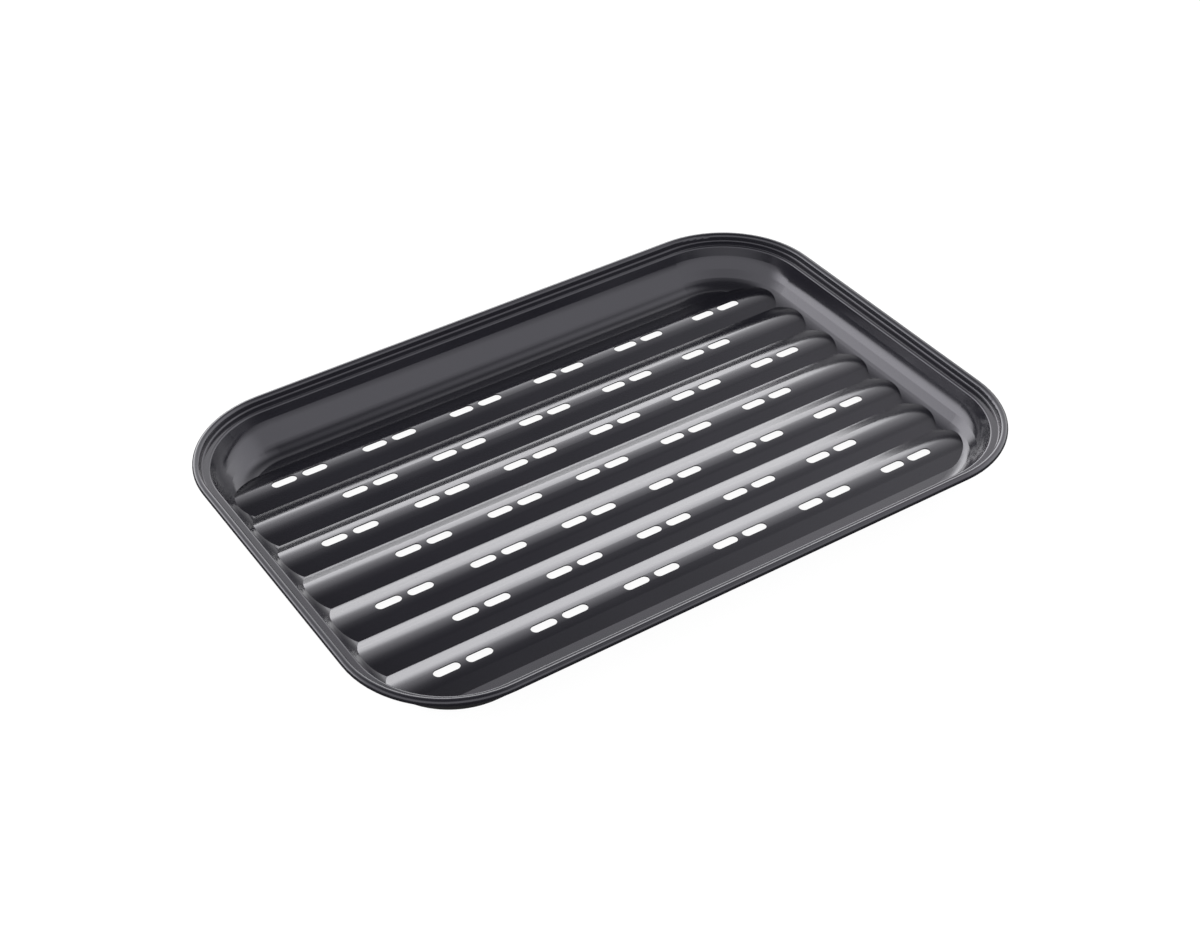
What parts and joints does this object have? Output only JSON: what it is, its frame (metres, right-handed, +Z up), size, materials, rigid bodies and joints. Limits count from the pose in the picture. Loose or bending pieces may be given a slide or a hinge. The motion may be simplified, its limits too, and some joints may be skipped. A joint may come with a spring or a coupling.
{
  "type": "ribbed baking tray",
  "caption": "Shallow rounded-rectangle tray in coated sheet steel, with a ribbed floor, staggered drain slots along the rib crests, sloping sides and a rolled, wire-stiffened edge.",
  "frame": {"origin": "middle of the tray's footprint, on the surface that it stands on", "axes": "+X along the ribs and the long sides, +Y across the ribs, +Z up, out of the open side"},
  "size_m": [0.345, 0.24, 0.024],
  "materials": {
    "coated_sheet": "dark anthracite non-stick coating, satin with a soft gloss",
    "edge_wire": "bare drawn steel wire"
  },
  "bodies": {
    "root": {"pressed_sheet": "coated_sheet", "edge_wire": "edge_wire"}
  },
  "joints": []
}
